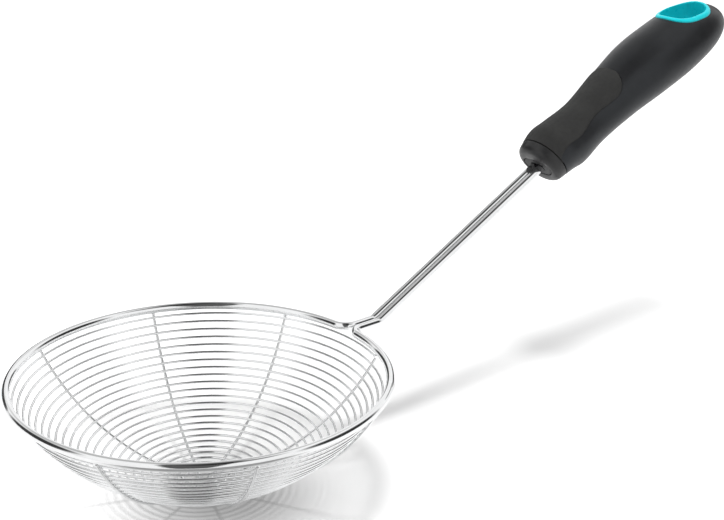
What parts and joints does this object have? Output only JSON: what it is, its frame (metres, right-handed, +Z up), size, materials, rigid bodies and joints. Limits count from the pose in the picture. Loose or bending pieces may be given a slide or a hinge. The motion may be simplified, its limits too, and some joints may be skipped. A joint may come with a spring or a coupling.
{
  "type": "wire skimmer",
  "caption": "Kitchen skimmer: a spiral-wound wire bowl on crossing ribs, a heavy wire rim that turns out into a twin shank, and a moulded grip with a lined hanging hole.",
  "frame": {"origin": "middle of the ground flat under the bowl, where it stands", "axes": "+X from the bowl towards the grip, +Z up out of the bowl, +Y to the left seen from the grip"},
  "size_m": [0.3483, 0.1398, 0.1449],
  "materials": {
    "steel": "polished stainless wire",
    "core": "plain black plastic",
    "cap": "charcoal plastic",
    "grip": "satin black plastic",
    "thumb": "matt dark grey soft rubber",
    "ring": "glossy teal plastic"
  },
  "bodies": {
    "root": {"frame_wire": "steel", "spiral_wire": "steel", "rib_wire_1": "steel", "rib_wire_2": "steel", "rib_wire_3": "steel", "rib_wire_4": "steel", "handle_core": "core", "nose_cap": "cap", "grip_body": "grip", "thumb_rest": "thumb", "hang_ring": "ring"}
  },
  "joints": []
}
